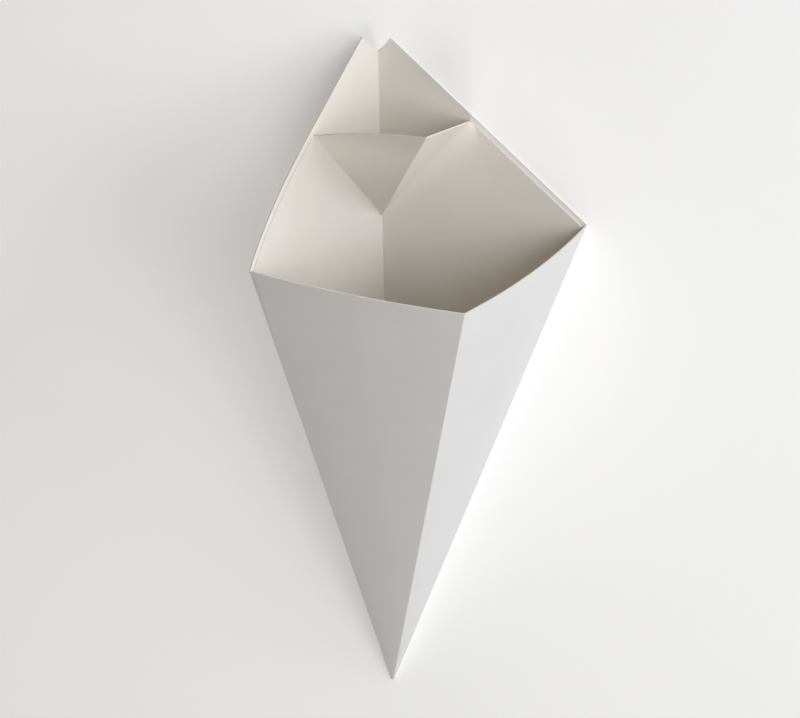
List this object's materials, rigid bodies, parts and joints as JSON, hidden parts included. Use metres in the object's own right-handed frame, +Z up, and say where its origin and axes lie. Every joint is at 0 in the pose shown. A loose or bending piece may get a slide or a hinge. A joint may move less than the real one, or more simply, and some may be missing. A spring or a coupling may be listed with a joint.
{
  "type": "cardboard food cone",
  "caption": "Folded paper-board food cone with a pointed tip, a slanting mouth, raised back walls with a notched peak, and a V-shaped sauce pocket folded from the lining.",
  "frame": {"origin": "Centre of the bounding box's footprint, at the level of the surface that the cone lies on", "axes": "+Z up, away from the surface; the tip points to -Y and the mouth to +Y; the cone lies on its flat right-hand back wall"},
  "size_m": [0.1012, 0.2468, 0.0693],
  "materials": {
    "white_board": "matt uncoated white paper board, unprinted"
  },
  "bodies": {
    "root": {"folded_cone": "white_board"}
  },
  "joints": []
}
